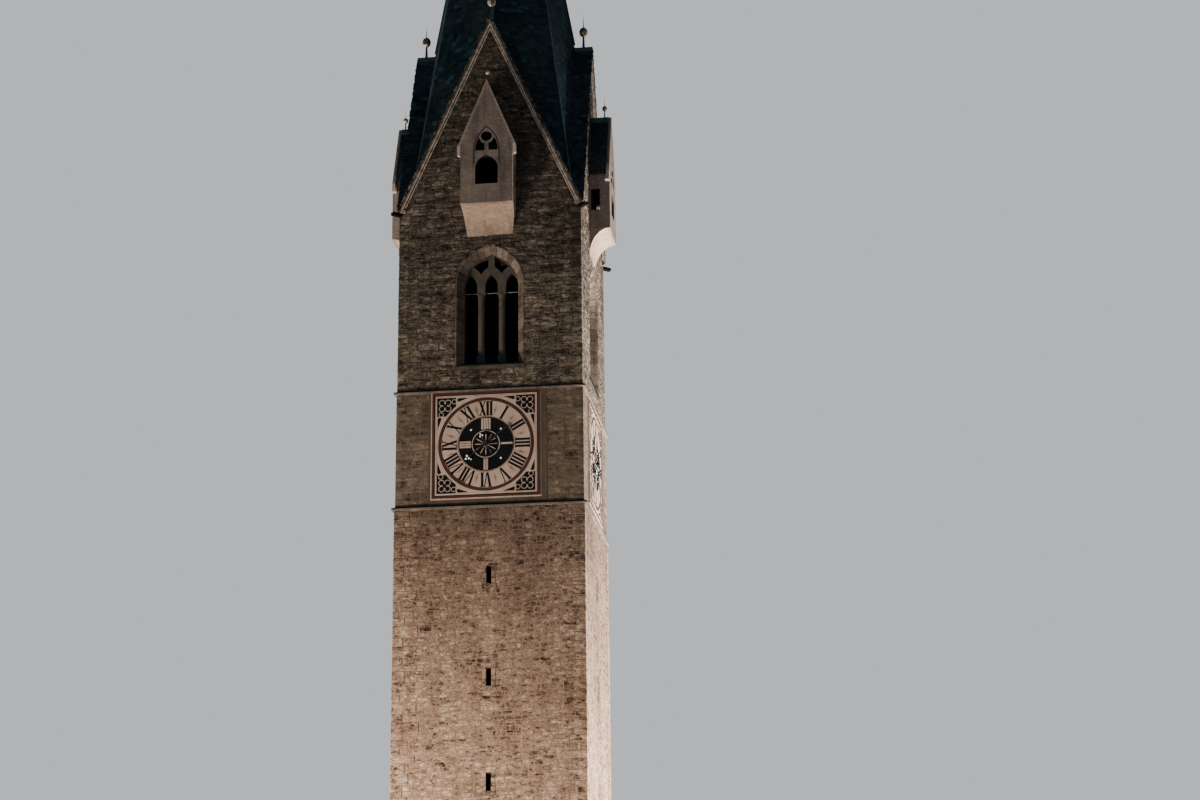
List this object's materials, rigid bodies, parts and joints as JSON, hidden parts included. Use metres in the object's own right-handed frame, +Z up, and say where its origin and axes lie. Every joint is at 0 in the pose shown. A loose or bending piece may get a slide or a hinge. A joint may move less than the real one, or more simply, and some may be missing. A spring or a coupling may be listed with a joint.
{
  "type": "church tower (half-size scale model)",
  "caption": "Square stone church tower with clock dials, traceried belfry windows, four gables with oriels and an eight-sided slate spire.",
  "frame": {"origin": "centre of the tower's plan, on the underside of its foot at ground level", "axes": "+Z up; the front, the side in the picture's view, looks along -Y; +X to the right seen from the front"},
  "size_m": [5.08, 5.08, 36.002],
  "materials": {
    "rubble_stone": "rough rubble masonry",
    "ashlar_stone": "weathered ashlar",
    "coursed_stone": "coursed rubble, weathered",
    "dressed_stone": "dressed stone",
    "plaster": "lime plaster",
    "slate": "dark slate",
    "copper": "patinated copper",
    "lead": "weathered lead",
    "dial_plaster": "painted plaster",
    "hand_iron": "blackened iron",
    "gilt": "gilt",
    "door_wood": "weathered oak",
    "floor_boards": "sawn boards",
    "paving": "stone flags"
  },
  "bodies": {
    "root": {"back_belfry_tracery": "dressed_stone", "back_belfry_wall": "coursed_stone", "back_clock_wall": "ashlar_stone", "back_gable_roof": "slate", "back_oriel": "plaster", "back_shaft_wall": "rubble_stone", "belfry_floor": "floor_boards", "clock_dials": "dial_plaster", "corner_kneelers": "dressed_stone", "corner_spouts": "lead", "entrance_door": "door_wood", "front_belfry_tracery": "dressed_stone", "front_belfry_wall": "coursed_stone", "front_clock_wall": "ashlar_stone", "front_gable_roof": "slate", "front_oriel": "plaster", "front_shaft_wall": "rubble_stone", "gable_copings": "dressed_stone", "ground_floor": "paving", "left_belfry_tracery": "dressed_stone", "left_belfry_wall": "coursed_stone", "left_clock_wall": "ashlar_stone", "left_gable_roof": "slate", "left_oriel": "plaster", "left_shaft_wall": "rubble_stone", "lower_string_course": "dressed_stone", "oriel_roofs": "slate", "ridge_caps": "copper", "right_belfry_tracery": "dressed_stone", "right_belfry_wall": "coursed_stone", "right_clock_wall": "ashlar_stone", "right_gable_roof": "slate", "right_oriel": "plaster", "right_shaft_wall": "rubble_stone", "roof_finials": "gilt", "spire": "slate", "spire_finial": "gilt", "upper_string_course": "dressed_stone", "watch_floor": "floor_boards"},
    "front_hour_hand": {"front_hour_hand": "hand_iron"},
    "front_quarter_hand": {"front_quarter_hand": "hand_iron"},
    "right_hour_hand": {"right_hour_hand": "hand_iron"},
    "right_quarter_hand": {"right_quarter_hand": "hand_iron"},
    "back_hour_hand": {"back_hour_hand": "hand_iron"},
    "back_quarter_hand": {"back_quarter_hand": "hand_iron"},
    "left_hour_hand": {"left_hour_hand": "hand_iron"},
    "left_quarter_hand": {"left_quarter_hand": "hand_iron"}
  },
  "joints": [
    {"name": "front_hour_turn", "type": "hinge", "parent": "root", "child": "front_hour_hand", "pos_m": [-0.072, -2.082, 14.664], "axis": [0, 1, 0], "continuous": true},
    {"name": "front_quarter_turn", "type": "hinge", "parent": "root", "child": "front_quarter_hand", "pos_m": [-0.072, -2.082, 14.664], "axis": [0, 1, 0], "continuous": true},
    {"name": "right_hour_turn", "type": "hinge", "parent": "root", "child": "right_hour_hand", "pos_m": [2.082, -0.072, 14.664], "axis": [-1, 0, 0], "continuous": true},
    {"name": "right_quarter_turn", "type": "hinge", "parent": "root", "child": "right_quarter_hand", "pos_m": [2.082, -0.072, 14.664], "axis": [-1, 0, 0], "continuous": true},
    {"name": "back_hour_turn", "type": "hinge", "parent": "root", "child": "back_hour_hand", "pos_m": [0.072, 2.082, 14.664], "axis": [0, -1, 0], "continuous": true},
    {"name": "back_quarter_turn", "type": "hinge", "parent": "root", "child": "back_quarter_hand", "pos_m": [0.072, 2.082, 14.664], "axis": [0, -1, 0], "continuous": true},
    {"name": "left_hour_turn", "type": "hinge", "parent": "root", "child": "left_hour_hand", "pos_m": [-2.082, 0.072, 14.664], "axis": [1, 0, 0], "continuous": true},
    {"name": "left_quarter_turn", "type": "hinge", "parent": "root", "child": "left_quarter_hand", "pos_m": [-2.082, 0.072, 14.664], "axis": [1, 0, 0], "continuous": true}
  ],
  "couplings": [
    {"joint": "front_quarter_turn", "follows": "front_hour_turn", "ratio": 12},
    {"joint": "right_hour_turn", "follows": "front_hour_turn", "ratio": 1},
    {"joint": "right_quarter_turn", "follows": "front_hour_turn", "ratio": 12},
    {"joint": "back_hour_turn", "follows": "front_hour_turn", "ratio": 1},
    {"joint": "back_quarter_turn", "follows": "front_hour_turn", "ratio": 12},
    {"joint": "left_hour_turn", "follows": "front_hour_turn", "ratio": 1},
    {"joint": "left_quarter_turn", "follows": "front_hour_turn", "ratio": 12}
  ]
}
